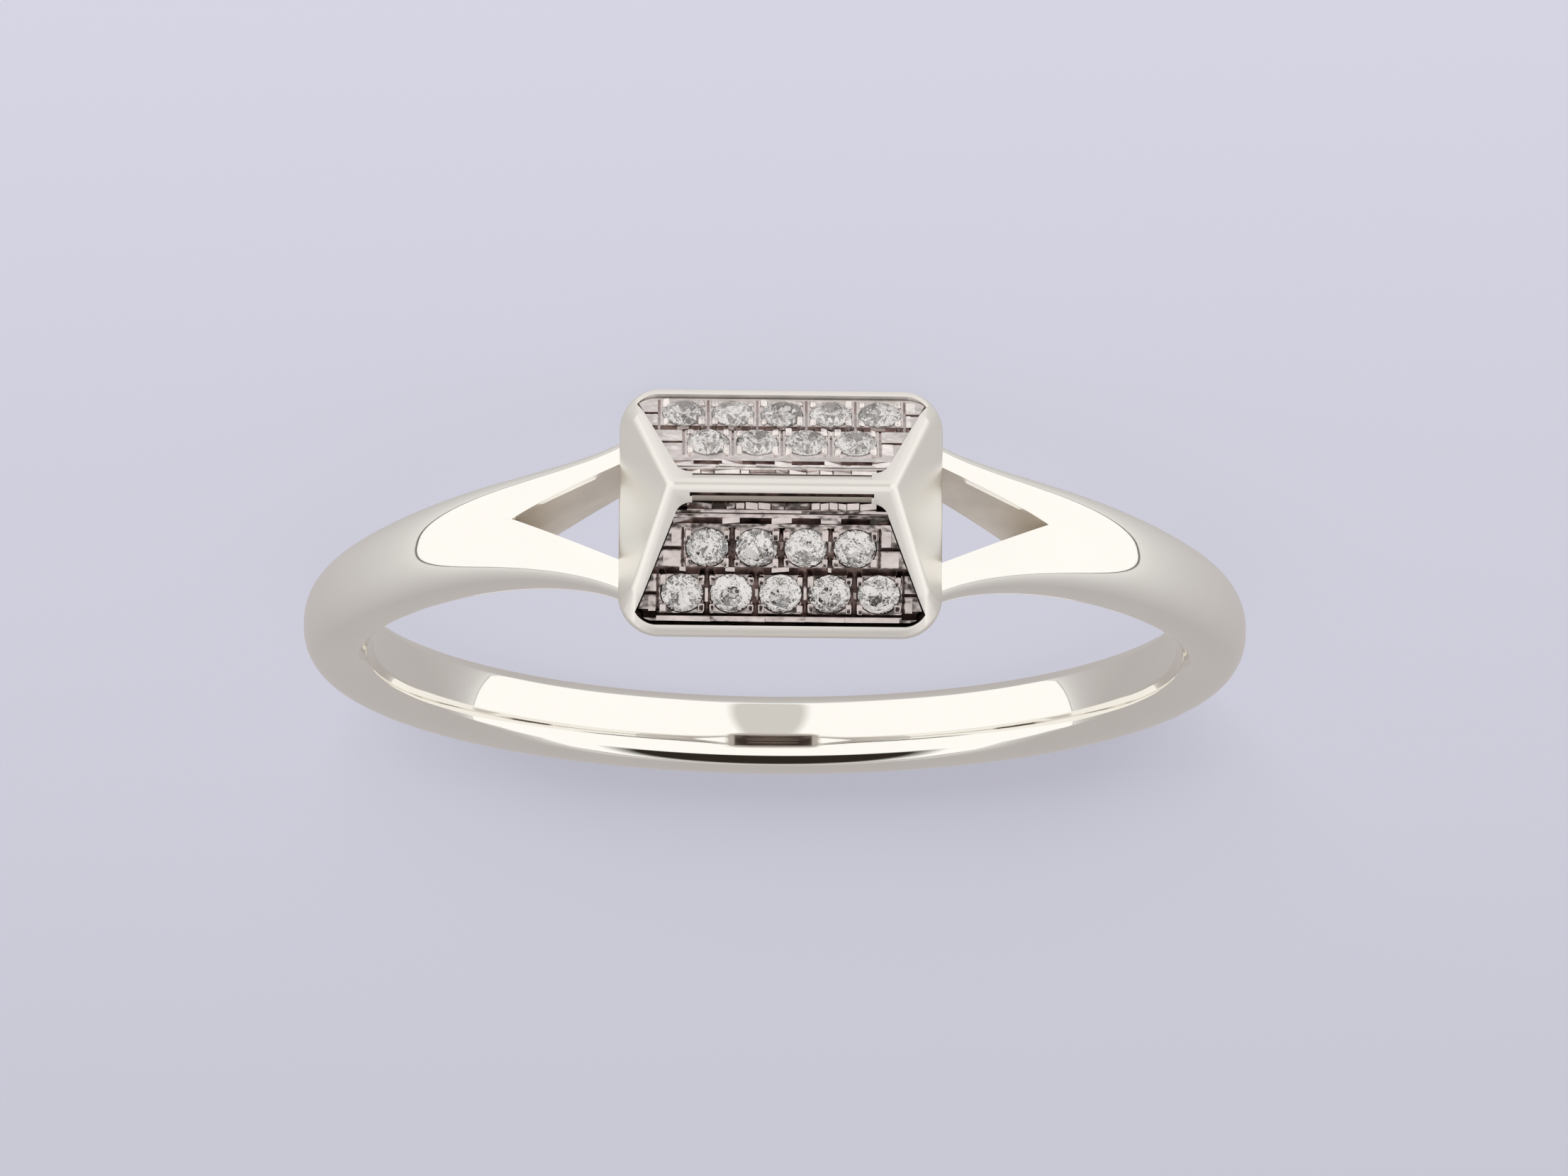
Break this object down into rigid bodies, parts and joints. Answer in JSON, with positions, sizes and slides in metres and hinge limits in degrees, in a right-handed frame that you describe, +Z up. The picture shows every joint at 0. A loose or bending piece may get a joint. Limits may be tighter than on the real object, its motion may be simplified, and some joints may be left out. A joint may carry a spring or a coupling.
{
  "type": "diamond ring",
  "caption": "Split-shank finger ring with a hipped rectangular head whose two long slopes are inlaid with plates of small round brilliants, lying on its side.",
  "frame": {"origin": "centre of the ring's bounding box at the surface that it lies on", "axes": "+Z up from the surface, +Y from the head across the finger hole to the back of the band, +X across the ring; the head lies toward -Y and the finger's axis leans 5.4 degrees from +Z"},
  "size_m": [0.0198, 0.0218, 0.0052],
  "materials": {
    "white_gold": "polished white gold",
    "plate_gold": "bright-cut gold, rosier than the body",
    "diamond": "faceted diamond"
  },
  "bodies": {
    "root": {"ring_body": "white_gold", "pave_plate_upper": "plate_gold", "pave_plate_lower": "plate_gold", "diamond_upper_1": "diamond", "diamond_upper_2": "diamond", "diamond_upper_3": "diamond", "diamond_upper_4": "diamond", "diamond_upper_5": "diamond", "diamond_upper_6": "diamond", "diamond_upper_7": "diamond", "diamond_upper_8": "diamond", "diamond_upper_9": "diamond", "diamond_lower_1": "diamond", "diamond_lower_2": "diamond", "diamond_lower_3": "diamond", "diamond_lower_4": "diamond", "diamond_lower_5": "diamond", "diamond_lower_6": "diamond", "diamond_lower_7": "diamond", "diamond_lower_8": "diamond", "diamond_lower_9": "diamond"}
  },
  "joints": []
}
